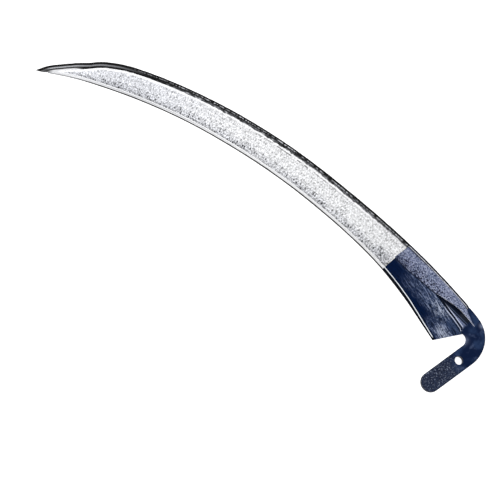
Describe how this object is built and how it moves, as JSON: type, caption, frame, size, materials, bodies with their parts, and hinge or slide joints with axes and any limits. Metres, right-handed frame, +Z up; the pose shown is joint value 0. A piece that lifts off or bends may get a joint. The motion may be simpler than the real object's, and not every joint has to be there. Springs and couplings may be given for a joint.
{
  "type": "scythe blade",
  "caption": "Forged curved mowing blade with a raised back rib, hammered web, sharpened edge strip and an upturned hooked tang with one bolt hole; fits on a handle.",
  "frame": {"origin": "centre of the tang's bolt hole, on the tang's upper face, the one that bears on the handle", "axes": "+Z up from the ground side of the level blade; the blade runs from the heel to its point along -X; the tang's free end points to -Y and rises"},
  "size_m": [0.5167, 0.2239, 0.0295],
  "materials": {
    "hammered_steel": "bright, hammer-marked",
    "ground_steel": "ground and peened, bright",
    "forge_black": "dark forge scale, satin",
    "blue_enamel": "dark blue enamel, satin gloss"
  },
  "bodies": {
    "root": {"blade_web": "hammered_steel", "cutting_edge": "ground_steel", "back_rib": "forge_black", "heel_stiffener": "blue_enamel", "tang": "blue_enamel"}
  },
  "joints": []
}
